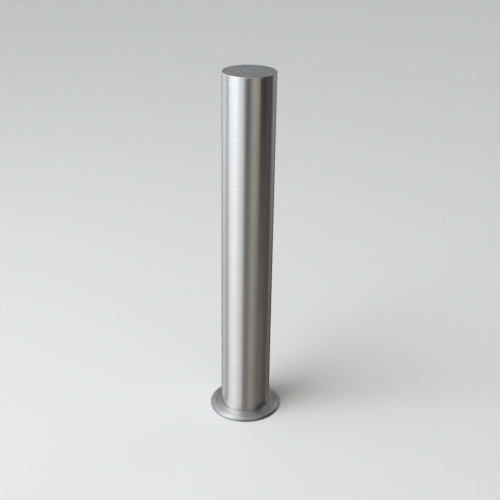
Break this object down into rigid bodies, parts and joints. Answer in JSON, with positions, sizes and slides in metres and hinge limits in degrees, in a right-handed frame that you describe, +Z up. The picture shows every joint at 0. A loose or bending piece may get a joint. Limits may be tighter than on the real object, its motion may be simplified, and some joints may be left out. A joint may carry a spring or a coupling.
{
  "type": "surface-fixed safety bollard",
  "caption": "Round brushed stainless post with a flat top, on a bolted base plate hidden by a domed lift-off cover ring.",
  "frame": {"origin": "on the ground, at the centre of the foot, under the middle of the post", "axes": "+Z up along the post; X and Y lie midway between the anchor holes, which are on the diagonals"},
  "size_m": [0.184, 0.184, 0.9],
  "materials": {
    "brushed_tube": "grain brushed round the tube, satin",
    "brushed_cap": "brushed flat top with a polished edge",
    "ground_weld": "weld ground flush and brushed over",
    "mill_plate": "mill finish, dull grey",
    "weld_bead": "rippled weld bead, pickled",
    "brushed_ring": "turned, concentric grain, satin",
    "black_rubber": "smooth matt moulded rubber"
  },
  "bodies": {
    "post": {"post_tube": "brushed_tube", "top_cap": "brushed_cap", "cap_weld": "ground_weld", "base_plate": "mill_plate", "base_weld_top": "weld_bead", "base_weld_under": "weld_bead"},
    "cover": {"cover_ring": "brushed_ring", "cover_seal": "black_rubber"}
  },
  "joints": [
    {"name": "cover_lift", "type": "slide", "parent": "post", "child": "cover", "axis": [0, 0, 1], "range_m": [0, 0.91]}
  ]
}
